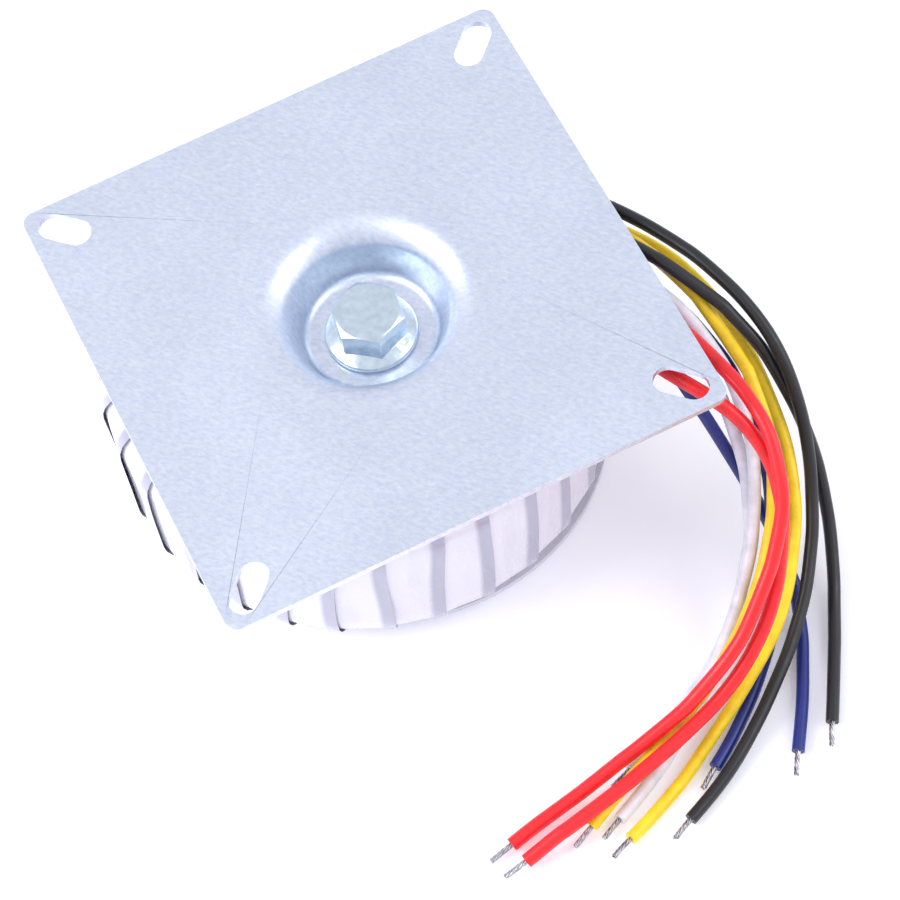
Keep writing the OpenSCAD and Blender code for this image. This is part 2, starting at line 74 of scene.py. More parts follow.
# Centrelines of the leads in millimetres, from the wrap to the end of the insulation
ROUTES = {
    "black_1": (
        (18, 31.5, 32.5), (19, 31.5, 32.5), (27, 30, 33.5), (31, 29, 33.5), (35, 28, 33.5),
        (41, 26, 33), (43.5, 25, 33), (50, 22, 31.5), (53.5, 20, 30), (56.5, 18, 28.5),
        (60, 15, 26), (63, 11.5, 22), (65, 8.5, 19), (67, 4.5, 15.5), (68, 1.5, 13),
        (69.5, -3, 10.5), (70, -6, 9), (71, -11.5, 7), (71, -16.5, 5.5), (71, -21, 4.5),
        (70.5, -25.5, 4), (70, -30, 3), (69, -36, 2.5), (68, -40.5, 2), (66.5, -45, 1.5),
        (64.5, -50, 1.5),
    ),
    "black_2": (
        (23.5, 27, 33.5), (27.5, 25.5, 34), (33, 23.5, 35), (37.5, 22, 35), (39, 21.5, 35.5),
        (50, 18.5, 31.5), (49.5, 18.5, 31.5), (55.5, 16.5, 27), (58, 15, 24.5),
        (61.5, 12.5, 20.5), (63.5, 11, 18), (66, 8.5, 14.5), (68, 6, 11.5), (70.5, 1.5, 7.5),
        (71.5, -0.5, 6), (74, -7, 2.5), (74.5, -9, 2), (76.5, -15.5, 1.5), (77, -17.5, 1.5),
        (79, -25, 1.5), (80, -29, 1.5),
    ),
    "yellow_1": (
        (21.5, 29, 31.5), (27, 27.5, 32), (27.5, 27.5, 32), (35.5, 24.5, 32.5), (40.5, 22, 32),
        (45, 19.5, 31), (45, 19.5, 31), (51.5, 14.5, 29), (56, 10.5, 27.5), (55, 11.5, 28),
        (60, 5.5, 24.5), (62, 2, 21.5), (63.5, -3.5, 17.5), (64, -5, 16), (64.5, -11.5, 12),
        (64.5, -14, 11), (64, -19.5, 9), (63.5, -23, 8), (62, -28.5, 6.5), (60.5, -33, 5.5),
        (58, -39, 4.5), (57.5, -40, 4.5), (54.5, -47, 3.5), (53, -50.5, 3), (51, -55.5, 2),
    ),
    "yellow_2": (
        (21.5, 30, 29), (25.5, 29.5, 29), (32.5, 28, 29.5), (36, 27, 29.5), (40, 25.5, 29.5),
        (45.5, 22.5, 28.5), (48.5, 20.5, 27.5), (52.5, 17.5, 25), (55.5, 15, 23),
        (59.5, 10.5, 19.5), (61.5, 8, 18), (63.5, 5, 16.5), (66, -0.5, 14), (67, -3.5, 12.5),
        (68, -9, 10), (68.5, -13, 8.5), (68.5, -17, 7), (68, -21.5, 5.5), (66, -29, 3.5),
        (65.5, -31, 3), (63.5, -37.5, 2), (62.5, -41, 1.5), (61.5, -44.5, 1), (58.5, -52, 1),
        (57, -55.5, 1.5),
    ),
    "white_1": (
        (26.5, 24, 32.5), (29.5, 22.5, 33), (33.5, 20.5, 33.5), (42.5, 16.5, 32.5),
        (42.5, 16.5, 32.5), (46.5, 14.5, 31.5), (52.5, 10, 28.5), (54.5, 8, 27), (58, 3.5, 23),
        (59, 1.5, 21), (60.5, -2.5, 17.5), (61.5, -7.5, 13.5), (62, -10, 12), (62, -15.5, 9),
        (62, -18.5, 7.5), (61.5, -24.5, 5), (61, -28, 4), (60, -34.5, 2.5), (59, -38.5, 2),
        (58, -43, 1.5), (56, -49, 1.5), (54.5, -53, 1.5),
    ),
    "white_2": (
        (28.5, 22.5, 27.5), (33.5, 19.5, 28.5), (35.5, 18.5, 29), (42, 15, 29.5),
        (44.5, 13.5, 29), (49.5, 10, 27.5), (51.5, 8, 26), (54.5, 5, 23), (57.5, 1, 18.5),
        (58.5, -0.5, 17), (61, -7, 10.5), (61, -8.5, 9.5), (61.5, -13, 6.5), (61.5, -16.5, 5),
        (61, -22, 3), (60, -26.5, 2), (59, -30, 1.5), (56, -38, 1), (55.5, -39.5, 1),
        (53.5, -45, 1.5),
    ),
    "red_1": (
        (30.5, 18.5, 32.5), (35.5, 16, 33.5), (40, 14, 34), (44, 12, 34.5), (48, 10, 34.5),
        (55.5, 5.5, 34), (57.5, 4, 33.5), (61.5, 0.5, 32.5), (63.5, -2, 31), (66, -6.5, 28),
        (67, -9.5, 25.5), (67, -15.5, 21), (67, -16, 20.5), (65.5, -25, 14.5), (64.5, -27, 13.5),
        (64, -28.5, 12.5), (60, -35.5, 8.5), (59, -37, 8), (53.5, -44, 5), (53, -44.5, 5),
        (48.5, -50.5, 3), (45.5, -54.5, 2.5), (42.5, -58.5, 2), (40.5, -61.5, 1.5),
    ),
    "red_2": (
        (32.5, 12.5, 33.5), (35.5, 9.5, 34), (40.5, 6, 34.5), (43.5, 4.5, 34.5), (48, 3, 34.5),
        (52, 2, 34), (56.5, 1, 32.5), (61, -1, 29.5), (64, -3.5, 26.5), (66, -7, 23.5),
        (66.5, -8, 22.5), (68, -15.5, 17.5), (68, -18, 16), (68, -21.5, 14), (66.5, -27.5, 10.5),
        (64.5, -32, 8.5), (63, -35, 7.5), (59.5, -41, 6.5), (59, -42, 6.5), (54.5, -49, 5.5),
        (53.5, -50.5, 5.5), (47, -59, 3.5), (48, -57.5, 4), (43.5, -63.5, 2),
    ),
    "blue_1": (
        (31.5, 18, 28.5), (36, 14.5, 29.5), (38.5, 12.5, 30), (45, 7.5, 29.5), (45.5, 7, 29),
        (49.5, 4.5, 26), (52.5, 3, 22), (54.5, 2, 19), (59.5, -0.5, 11.5), (61.5, -2, 9),
        (63.5, -3.5, 6.5), (69, -10, 2.5), (68, -8.5, 3), (72, -17, 1.5), (72.5, -19, 1.5),
        (74.5, -25.5, 1.5), (75.5, -30, 1.5), (76.5, -35, 1.5),
    ),
    "blue_2": (
        (29.5, 21.5, 31), (35, 20, 31), (37, 19.5, 31), (43.5, 17, 30), (45.5, 16, 29.5),
        (51, 12.5, 27.5), (53, 11, 26.5), (56.5, 7.5, 23.5), (59.5, 4, 19.5), (61.5, 1, 16),
        (62.5, -1.5, 13), (63.5, -4, 10.5), (65.5, -9.5, 6), (66.5, -12.5, 4.5),
        (67.5, -18, 2.5), (67.5, -21.5, 2), (67.5, -27.5, 1.5), (67, -32, 1.5),
        (66.5, -36.5, 1.5), (65.5, -41, 1.5),
    ),
}

RED_D = 2.2 * MM
LEAD_D = 2.0 * MM
STRIP_LENGTH = 4.0 * MM
STRANDS = 7
STRAND_D = 0.3 * MM


# ---------------------------------------------------------------- materials


def linear(hex_colour, alpha=1.0):
    """An sRGB hex colour as linear RGBA."""
    channels = [int(hex_colour[i:i + 2], 16) / 255 for i in (1, 3, 5)]
    return [c / 12.92 if c <= 0.04045 else ((c + 0.055) / 1.055) ** 2.4 for c in channels] + [alpha]


def add(tree, kind, inputs=None, **settings):
    """Adds a shader node: settings are its properties, inputs are constants or sockets to link."""
    made = tree.nodes.new(kind)
    for name, value in settings.items():
        setattr(made, name, value)
    for name, value in (inputs or {}).items():
        socket = made.inputs[name]
        if isinstance(value, bpy.types.NodeSocket):
            tree.links.new(value, socket)
        else:
            socket.default_value = value
    return made


def material(name, **inputs):
    """A new material with a Principled shader, and its node tree."""
    made = bpy.data.materials.new(name)
    made.use_nodes = True
    tree = made.node_tree
    tree.nodes.clear()
    named = {key.replace("_", " "): value for key, value in inputs.items()}
    shader = add(tree, "ShaderNodeBsdfPrincipled", named)
    out = add(tree, "ShaderNodeOutputMaterial")
    tree.links.new(shader.outputs[0], out.inputs["Surface"])
    return made, tree, shader


def per_metre(size_mm):
    """Texture scale that gives a pattern this size, in millimetres, on object coordinates."""
    return 1000.0 / size_mm


def place(tree, stretch=(1, 1, 1), turn=(0, 0, 0)):
    """Object coordinates, stretched or turned."""
    where = add(tree, "ShaderNodeTexCoord").outputs["Object"]
    return add(tree, "ShaderNodeMapping",
               {"Vector": where, "Scale": stretch, "Rotation": turn}).outputs[0]


def blended(tree, factor, low, high):
    """A colour between two hex colours."""
    mix = add(tree, "ShaderNodeMix", data_type="RGBA")
    tree.links.new(factor, mix.inputs["Factor"])
    mix.inputs["A"].default_value = linear(low)
    mix.inputs["B"].default_value = linear(high)
    return mix.outputs["Result"]


def ranged(tree, value, low, high, start=0.0, end=1.0):
    """A value mapped from start..end to low..high, held at its ends."""
    return add(tree, "ShaderNodeMapRange", {"Value": value, "From Min": start, "From Max": end,
                                            "To Min": low, "To Max": high}).outputs[0]


def bumped(tree, shader, height, distance_mm, strength):
    """Raises the shader's surface by a height texture."""
    bump = add(tree, "ShaderNodeBump",
               {"Height": height, "Distance": distance_mm * MM, "Strength": strength})
    tree.links.new(bump.outputs[0], shader.inputs["Normal"])


def galvanised_sheet(colour, name="galvanised_steel_sheet"):
    """Hot-dip zinc with a minimised spangle: fine frosted crystals, faintly rolled one way."""
    made, tree, shader = material(name, Metallic=1.0, Roughness=0.5)
    cells = add(tree, "ShaderNodeTexVoronoi", {"Vector": place(tree), "Scale": per_metre(0.9)})
    crystal = add(tree, "ShaderNodeSeparateColor", {"Color": cells.outputs["Color"]}).outputs[0]
    grain = add(tree, "ShaderNodeTexNoise", {
        "Vector": place(tree, (1, 2.2, 1), (0, 0, math.radians(20))),
        "Scale": per_metre(1.1), "Detail": 6.0, "Roughness": 0.7}).outputs[0]
    cloud = add(tree, "ShaderNodeTexNoise", {
        "Vector": place(tree), "Scale": per_metre(22), "Detail": 3.0}).outputs[0]
    pale = blended(tree, ranged(tree, grain, 0, 1, 0.3, 0.7), *colour)
    tint = add(tree, "ShaderNodeMix", data_type="RGBA", blend_type="MULTIPLY")
    tree.links.new(ranged(tree, crystal, 0.0, 0.16), tint.inputs["Factor"])
    tree.links.new(pale, tint.inputs["A"])
    tint.inputs["B"].default_value = linear("#B9C2D6")
    tree.links.new(tint.outputs["Result"], shader.inputs["Base Color"])
    rough = add(tree, "ShaderNodeMath", {0: ranged(tree, cloud, 0.34, 0.46, 0.3, 0.7),
                                         1: ranged(tree, crystal, -0.03, 0.05)}, operation="ADD")
    tree.links.new(rough.outputs[0], shader.inputs["Roughness"])
    bumped(tree, shader, grain, 0.02, 0.35)
    return made


def zinc_plating(colour, name="zinc_plated_steel"):
    """Bright electroplated zinc with a blue passivation: smooth, with faint handling marks."""
    made, tree, shader = material(name, Metallic=1.0, Roughness=0.3)
    cloud = add(tree, "ShaderNodeTexNoise", {
        "Vector": place(tree), "Scale": per_metre(1.3), "Detail": 6.0}).outputs[0]
    tree.links.new(blended(tree, ranged(tree, cloud, 0, 1, 0.25, 0.75), *colour),
                   shader.inputs["Base Color"])
    tree.links.new(ranged(tree, cloud, 0.18, 0.28, 0.3, 0.7), shader.inputs["Roughness"])
    bumped(tree, shader, cloud, 0.01, 0.4)
    return made


def neoprene():
    """Die-cut neoprene rubber, pale grey: matt, with a fine moulded grain."""
    made, tree, shader = material("neoprene", Roughness=0.85)
    grain = add(tree, "ShaderNodeTexNoise", {
        "Vector": place(tree), "Scale": per_metre(0.5), "Detail": 3.0}).outputs[0]
    tree.links.new(blended(tree, grain, "#CBCAD4", "#DDDCE6"), shader.inputs["Base Color"])
    bumped(tree, shader, grain, 0.05, 0.5)
    return made


def polyester_film(looks):
    """Clear glossy film over a pale layer: a lap is two films thick and looks darker. Where
    the pale layer ends, the film is clear and the copper shows through it."""
    made, tree, shader = material("polyester_film", Roughness=0.22, Coat_Weight=0.6,
                                  Coat_Roughness=0.08, Specular_IOR_Level=0.5)
    lap = add(tree, "ShaderNodeAttribute", attribute_name="lap").outputs["Fac"]
    clear = add(tree, "ShaderNodeAttribute", attribute_name="clear").outputs["Fac"]
    haze = add(tree, "ShaderNodeTexNoise", {
        "Vector": place(tree, (1, 1, 0.25)), "Scale": per_metre(4), "Detail": 4.0}).outputs[0]
    shade = add(tree, "ShaderNodeMath", {0: lap, 1: ranged(tree, haze, -0.16, 0.16, 0.3, 0.7)},
                operation="ADD", use_clamp=True).outputs[0]
    tree.links.new(blended(tree, shade, looks.film, looks.film_lap), shader.inputs["Base Color"])
    tree.links.new(ranged(tree, clear, 1.0, 0.3), shader.inputs["Alpha"])
    tree.links.new(ranged(tree, haze, 0.16, 0.32, 0.3, 0.7), shader.inputs["Roughness"])
    bumped(tree, shader, haze, 0.25, 0.5)
    return made


def enamelled_copper(looks):
    """Drawn copper wire under clear enamel: warm, glossy, a little uneven in tone."""
    made, tree, shader = material("enamelled_copper_wire", Metallic=1.0, Roughness=0.3,
                                  Coat_Weight=0.5, Coat_Roughness=0.1)
    tone = add(tree, "ShaderNodeTexNoise", {
        "Vector": place(tree), "Scale": per_metre(3), "Detail": 2.0}).outputs[0]
    tree.links.new(blended(tree, ranged(tree, tone, 0, 1, 0.3, 0.7), looks.copper, "#B5685A"),
                   shader.inputs["Base Color"])
    return made


def pvc(name, colour):
    """Extruded PVC insulation: semi-gloss, with the faint waviness of a soft extrusion."""
    made, tree, shader = material("pvc_" + name, Roughness=0.38, Specular_IOR_Level=0.5)
    wave = add(tree, "ShaderNodeTexNoise", {
        "Vector": place(tree), "Scale": per_metre(2.2), "Detail": 3.0}).outputs[0]
    dark = "#" + "".join("%02X" % int(int(colour[i:i + 2], 16) * 0.9) for i in (1, 3, 5))
    tree.links.new(blended(tree, ranged(tree, wave, 0, 1, 0.3, 0.7), colour, dark),
                   shader.inputs["Base Color"])
    tree.links.new(ranged(tree, wave, 0.3, 0.45, 0.3, 0.7), shader.inputs["Roughness"])
    bumped(tree, shader, wave, 0.05, 0.4)
    return made


def tinned_copper():
    """Hot-dipped strands: bright tin, smeared unevenly over the twist."""
    made, tree, shader = material("tinned_copper_strand", Metallic=1.0, Roughness=0.3)
    smear = add(tree, "ShaderNodeTexNoise", {
        "Vector": place(tree), "Scale": per_metre(0.8), "Detail": 2.0}).outputs[0]
    tree.links.new(blended(tree, ranged(tree, smear, 0, 1, 0.3, 0.7), "#8F8E94", "#D2D0D4"),
                   shader.inputs["Base Color"])
    return made


# ---------------------------------------------------------------- mesh helpers


def put(made, name, finish, replaced=()):
    """Links a new piece, smooth-shaded, riding on the body, for the nodes it stands for."""
    made.name = name
    if made.name not in bpy.context.scene.collection.objects:
        bpy.context.scene.collection.objects.link(made)
    made.data.materials.clear()
    made.data.materials.append(finish)
    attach(made, "root")
    if replaced:
        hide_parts(*replaced)
    return made


def smoothed(made):
    """Smooth shading that leaves flat faces flat and sharp edges sharp."""
    for face in made.data.polygons:
        face.use_smooth = True
    made.data.set_sharp_from_angle(angle=math.radians(38))
    even = made.modifiers.new("even_faces", "WEIGHTED_NORMAL")
    even.mode, even.weight, even.keep_sharp = "FACE_AREA", 100, True
    return made


def dressed(node, finish, edge_mm):
    """A copy of a solid with its edges broken as the real piece's are, smooth where it turns."""
    made = bpy.data.objects.new(node + "_finished", NODES[node].data.copy())
    bpy.context.scene.collection.objects.link(made)
    shape = bmesh.new()
    shape.from_mesh(made.data)
    bmesh.ops.remove_doubles(shape, verts=shape.verts, dist=1e-6)
    bmesh.ops.dissolve_limit(shape, angle_limit=math.radians(0.5), verts=shape.verts,
                             edges=shape.edges)
    sharp = [e for e in shape.edges
             if len(e.link_faces) == 2 and e.calc_face_angle(0) > math.radians(28)]
    bmesh.ops.bevel(shape, geom=sharp, offset=edge_mm * MM, segments=3, affect="EDGES",
                    profile=0.5, clamp_overlap=True)
    shape.to_mesh(made.data)
    shape.free()
    smoothed(made)
    return put(made, node + "_finished", finish, [node])


def smooth_piece(name, verts, faces):
    """A smooth-shaded mesh object through points, and its mesh."""
    mesh = bpy.data.meshes.new(name)
    mesh.from_pydata([tuple(v) for v in verts], [], faces)
    for face in mesh.polygons:
        face.use_smooth = True
    return bpy.data.objects.new(name, mesh), mesh


def ring_section(bore, rim, half, bore_r, rim_r, steps):
    """Points round a ring's section as (radius, height, outward radial, outward axial)."""
    corners = ((rim - rim_r, -half + rim_r, rim_r, -90), (rim - rim_r, half - rim_r, rim_r, 0),
               (bore + bore_r, half - bore_r, bore_r, 90),
               (bore + bore_r, -half + bore_r, bore_r, 180))
    dense = []
    for x, z, r, start in corners:
        for i in range(steps + 1):
            angle = math.radians(start + 90 * i / steps)
            dense.append((x + r * math.cos(angle), z + r * math.sin(angle),
                          math.cos(angle), math.sin(angle)))
    points = []
    for here, there in zip(dense, dense[1:] + dense[:1]):
        points.append(here)
        gap = math.hypot(there[0] - here[0], there[1] - here[1])
        extra = int(gap / (1.6 * MM))
        for i in range(1, extra):
            points.append(tuple(a + (b - a) * i / extra for a, b in zip(here, there)))
    return points


RIM_R = (WRAP_HIGH.x - WRAP_LOW.x) / 2
WRAP_SECTION = ring_section(WRAP_BORE_R, RIM_R,
                            (WRAP_HIGH.z - WRAP_LOW.z) / 2, 6.0 * MM, 8.6 * MM, 7)
WINDING_SECTION = ring_section(WINDING_BORE_R, (WINDING_HIGH.x - WINDING_LOW.x) / 2,
                               (WINDING_HIGH.z - WINDING_LOW.z) / 2, 5.4 * MM, 8.0 * MM, 4)


def on_ring(point, angle, lift):
    """A section point turned to an angle about the coil's axis, raised off the surface."""
    r, z = point[0] + lift * point[2], point[1] + lift * point[3]
    return Vector((COIL.x + r * math.cos(angle), COIL.y + r * math.sin(angle), COIL.z + z))


def arc(centre, radius, start, end, steps):
    """Points on an arc, angles in degrees."""
    out = []
    for i in range(steps + 1):
        a = math.radians(start + (end - start) * i / steps)
        out.append((centre[0] + radius * math.cos(a), centre[1] + radius * math.sin(a)))
    return out


def dish_section(rim_r, floor_r, depth, rim_bend, foot_bend, hole_r):
    """Section of the pressed dish, from the face, down the wall, and back up underneath. The
    two sides of the sheet share their bends' centres."""
    bends = rim_bend + foot_bend
    run = math.hypot(rim_r - floor_r, depth - bends)
    wall = math.degrees(math.atan2(depth - bends, rim_r - floor_r) + math.asin(bends / run))
    top, foot = (rim_r, -rim_bend), (floor_r, -depth + foot_bend)
    return (arc(top, rim_bend, 90, 90 + wall, 14) + arc(foot, foot_bend, wall - 90, -90, 8)
            + [(hole_r + 0.15 * MM, -depth), (hole_r, -depth - 0.15 * MM),
               (hole_r, -depth - PLATE_T)]
            + arc(foot, foot_bend + PLATE_T, -90, wall - 90, 8)
            + arc(top, rim_bend - PLATE_T, 90 + wall, 90, 14))


def filled(loops):
    """A flat mesh inside the first loop of points and outside the others."""
    data = bpy.data.curves.new("outline", "CURVE")
    data.dimensions, data.fill_mode = "2D", "BOTH"
    for loop in loops:
        spline = data.splines.new("POLY")
        spline.points.add(len(loop) - 1)
        for at, point in zip(spline.points, loop):
            at.co = (*point, 0, 1)
        spline.use_cyclic_u = True
    holder = bpy.data.objects.new("outline", data)
    bpy.context.scene.collection.objects.link(holder)
    bpy.context.view_layer.update()
    evaluated = holder.evaluated_get(bpy.context.evaluated_depsgraph_get())
    mesh = bpy.data.meshes.new_from_object(evaluated)
    bpy.data.objects.remove(holder)
    return mesh


def plate_loops(rim_r, around):
    """Outlines of the plate: its side, its four slots and the dish's rim."""
    half, corner = PLATE_SIDE / 2, PLATE_CORNER
    side = []
    for turn in range(4):
        start = 90 * turn
        c = half - corner
        x, y = ((c, c), (-c, c), (-c, -c), (c, -c))[turn]
        side += arc((x, y), corner, start, start + 90, 8)
    tilt = math.radians(45)
    side = [(x * math.cos(tilt) - y * math.sin(tilt), x * math.sin(tilt) + y * math.cos(tilt))
            for x, y in side]
    loops = [side]
    travel = (SLOT_LENGTH - SLOT_WIDTH) / 2
    for turn in range(4):
        slot = (arc((SLOT_AT + travel, 0), SLOT_WIDTH / 2, -90, 90, 14)
                + arc((SLOT_AT - travel, 0), SLOT_WIDTH / 2, 90, 270, 14))
        cos, sin = ((1, 0), (0, 1), (-1, 0), (0, -1))[turn]
        loops.append([(x * cos - y * sin, x * sin + y * cos) for x, y in slot])
    loops.append([(rim_r * math.cos(math.tau * i / around), rim_r * math.sin(math.tau * i / around))
                  for i in range(around)])
    return loops


def pressed_plate(looks):
    """The mounting plate as one sheet: flat, slotted, and drawn down into its dish."""
    around = 120
    rim_r = looks.dish_rim / 2
    shape = bmesh.new()
    shape.from_mesh(filled(plate_loops(rim_r, around)))
    for vert in shape.verts:
        vert.co.z = PLATE_TOP - PLATE_T
    raised = bmesh.ops.extrude_face_region(shape, geom=list(shape.faces))
    lifted = [g for g in raised["geom"] if isinstance(g, bmesh.types.BMVert)]
    bmesh.ops.translate(shape, verts=lifted, vec=(0, 0, PLATE_T))
    inner = [f for f in shape.faces
             if all(math.hypot(v.co.x, v.co.y) < rim_r + 0.2 * MM for v in f.verts)]
    bmesh.ops.delete(shape, geom=inner, context="FACES_ONLY")
    section = dish_section(rim_r, looks.dish_floor / 2, PLATE_TOP - BEARING_Z,
                           looks.dish_rim_bend, looks.dish_foot_bend, BOLT_HOLE_R)
    rings = []
    for r, z in section:
        rings.append([shape.verts.new((r * math.cos(math.tau * i / around),
                                       r * math.sin(math.tau * i / around), PLATE_TOP + z))
                      for i in range(around)])
    for upper, lower in zip(rings, rings[1:]):
        for i in range(around):
            j = (i + 1) % around
            shape.faces.new((upper[i], lower[i], lower[j], upper[j]))
    bmesh.ops.remove_doubles(shape, verts=shape.verts, dist=5e-6)
    bmesh.ops.recalc_face_normals(shape, faces=shape.faces)
    sharp = [e for e in shape.edges
             if len(e.link_faces) == 2 and e.calc_face_angle(0) > math.radians(60)
             and math.hypot(*e.verts[0].co.xy) > rim_r + MM]
    bmesh.ops.bevel(shape, geom=sharp, offset=looks.edge_mm * MM, segments=3, affect="EDGES",
                    profile=0.5, clamp_overlap=True)
    mesh = bpy.data.meshes.new("pressed_plate")
    shape.to_mesh(mesh)
    shape.free()
    return smoothed(bpy.data.objects.new("pressed_plate", mesh))


# ---------------------------------------------------------------- properties


def colour_property(name, default, description):
    """An sRGB hex colour."""
    return bpy.props.StringProperty(name=name, default=default, description=description)


class TransformerLooks(bpy.types.PropertyGroup):
    """Colours and sizes of the surfaces."""

    plate_light: colour_property("Plate light", "#EDF1FA", "Colour of the zinc's bright crystals")
    plate_dark: colour_property("Plate dark", "#CFD8E8", "Colour of the zinc's dull crystals")
    bolt_light: colour_property("Bolt light", "#DCE9F1", "Colour of the bolt's bright plating")
    bolt_dark: colour_property("Bolt dark", "#C3D4DF", "Colour of the bolt's dull plating")
    film: colour_property("Film", "#DCDAE6", "Colour of one film over the pale layer")
    film_lap: colour_property("Film lap", "#A3A3B6", "Colour where one film laps over another")
    copper: colour_property("Copper", "#E29A86", "Colour of the enamelled wire")
    dish_rim: bpy.props.FloatProperty(name="Dish rim", default=33.6 * MM, unit="LENGTH",
                                      description="Diameter where the face turns down")
    dish_floor: bpy.props.FloatProperty(name="Dish floor", default=18.2 * MM, unit="LENGTH",
                                        description="Diameter of the dish's flat floor")
    dish_rim_bend: bpy.props.FloatProperty(name="Rim bend", default=5.0 * MM, unit="LENGTH",
                                           description="Radius at the dish's rim")
    dish_foot_bend: bpy.props.FloatProperty(name="Foot bend", default=1.6 * MM, unit="LENGTH",
                                            description="Radius at the dish's foot")
    edge_mm: bpy.props.FloatProperty(name="Edge", default=0.14, min=0.02, max=0.4,
                                     description="Width of a broken edge, in millimetres")
    laps: bpy.props.IntProperty(name="Laps", default=30, min=16, max=60,
                                description="Strips of film round the ring")
    strip_width: bpy.props.FloatProperty(name="Strip width", default=10.2 * MM, unit="LENGTH",
                                         min=0.006, max=0.02,
                                         description="Width of the wrapping film")
    turns: bpy.props.IntProperty(name="Turns", default=112, min=40, max=125,
                                 description="Turns of wire modelled on the secondary")
    wire: bpy.props.FloatProperty(name="Wire", default=0.9 * MM, unit="LENGTH",
                                  min=0.0004, max=0.0016, description="Diameter of the wire")
    black: colour_property("Black lead", "#1E1E22", "Colour of the black insulation")
    yellow: colour_property("Yellow lead", "#FFD91F", "Colour of the yellow insulation")
    white: colour_property("White lead", "#EDEBF4", "Colour of the white insulation")
    red: colour_property("Red lead", "#F4222A", "Colour of the red insulation")
    blue: colour_property("Blue lead", "#1B2C7E", "Colour of the blue insulation")


class StageSettings(bpy.types.PropertyGroup):
    """Camera, floor and light."""

    lens: bpy.props.FloatProperty(name="Lens", default=133.72, min=20, max=300,
                                  description="Focal length in millimetres on a 36 mm sensor")
    camera_at: bpy.props.FloatVectorProperty(name="Camera", unit="LENGTH", subtype="XYZ",
                                             default=(0.13701, -0.22696, 0.45961),
                                             description="Where the camera stands")
    camera_turn: bpy.props.FloatVectorProperty(
        name="Camera turn", subtype="EULER", unit="ROTATION",
        default=tuple(math.radians(a) for a in (28.990, 5.709, 19.229)),
        description="How the camera is turned")
    floor: colour_property("Floor", "#FAFAFD", "Colour of the floor")
    sky: bpy.props.FloatProperty(name="Sky", default=0.95, min=0, max=3,
                                 description="Strength of the light from all round")


# ---------------------------------------------------------------- operators


class TRANSFORMER_OT_metalwork(bpy.types.Operator):
    """Plate, clamping disc, bolt, nut and washers with broken edges and zinc finishes"""

    bl_idname = "transformer.metalwork"
    bl_label = "Metalwork"

    def execute(self, context):
        looks = context.scene.transformer_looks
        sheet = galvanised_sheet((looks.plate_dark, looks.plate_light))
        plating = zinc_plating((looks.bolt_dark, looks.bolt_light))
        spring = zinc_plating(("#8D969F", "#B9C1CA"), "zinc_plated_spring_steel")
        put(pressed_plate(looks), "pressed_plate", sheet, ["mounting_plate"])
        dressed("clamp_disc", sheet, looks.edge_mm)
        dressed("flat_washer", plating, looks.edge_mm)
        dressed("spring_washer", spring, looks.edge_mm * 0.5)
        dressed("clamp_nut", plating, looks.edge_mm)
        dressed("clamp_bolt", plating, looks.edge_mm)
        return {"FINISHED"}


class TRANSFORMER_OT_pads(bpy.types.Operator):
    """Neoprene pads above and below the coil"""

    bl_idname = "transformer.pads"
    bl_label = "Pads"

    def execute(self, context):
        finish = neoprene()
        for node in ("upper_pad", "lower_pad"):
            dressed(node, finish, 0.1)
        return {"FINISHED"}


class TRANSFORMER_OT_inside(bpy.types.Operator):
    """Finishes of the core and of the layers that the film and the wire hide"""

    bl_idname = "transformer.inside"
    bl_label = "Core and inner layers"

    def execute(self, context):
        looks = context.scene.transformer_looks
        copper = enamelled_copper(looks)
        finishes = {"core": zinc_plating(("#6C6E76", "#8A8C94"), "grain_oriented_steel"),
                    "core_tape": pvc("crepe_tape", "#E8D69A"), "primary_winding": copper,
                    "barrier_film": pvc("barrier_film", "#B9766A")}
        for node, finish in finishes.items():
            NODES[node].data.materials.clear()
            NODES[node].data.materials.append(finish)
        return {"FINISHED"}


class TRANSFORMER_OT_winding(bpy.types.Operator):
    """Secondary winding, turn by turn"""

    bl_idname = "transformer.winding"
    bl_label = "Secondary winding"

    def execute(self, context):
        looks = context.scene.transformer_looks
        sides = 6
        radius = looks.wire / 2
        picker = random.Random(5)
        verts, faces = [], []
        for turn in range(looks.turns):
            angle = math.tau * (turn + picker.uniform(-0.08, 0.08)) / looks.turns
            lean = math.tau / looks.turns * 0.5
            count = len(WINDING_SECTION)
            start = len(verts)
            for i, point in enumerate(WINDING_SECTION):
                here = angle + lean * math.sin(math.tau * i / count)
                side = Vector((-math.sin(here), math.cos(here), 0))
                out = Vector((point[2] * math.cos(here), point[2] * math.sin(here), point[3]))
                centre = on_ring(point, here, -radius)
                for k in range(sides):
                    a = math.tau * k / sides
                    verts.append(centre + radius * (math.cos(a) * out + math.sin(a) * side))
            for i in range(count):
                a, b = start + i * sides, start + (i + 1) % count * sides
                for k in range(sides):
                    c = (k + 1) % sides
                    faces.append((a + k, b + k, b + c, a + c))
        made, _ = smooth_piece("secondary_turns", verts, faces)
        put(made, "secondary_turns", enamelled_copper(looks),
            ["secondary_winding"])
        return {"FINISHED"}


CLEAR_MIDDLE, CLEAR_HALF, CLEAR_FADE = 148, 24, 5  # degrees round the ring
CLEAR_FOOT, CLEAR_FOOT_FADE = -12 * MM, 4 * MM


def held(value):
    return max(0.0, min(1.0, value))


def film_clear(angle, height):
    """How clear the film is: the pale layer under it stops at one side of the ring."""
    off = abs((math.degrees(angle) - CLEAR_MIDDLE + 180) % 360 - 180)
    return (held((CLEAR_HALF - off) / CLEAR_FADE)
            * held((height - CLEAR_FOOT) / CLEAR_FOOT_FADE))


LAP_SHOWS_R = 28 * MM  # inside this radius the laps run together


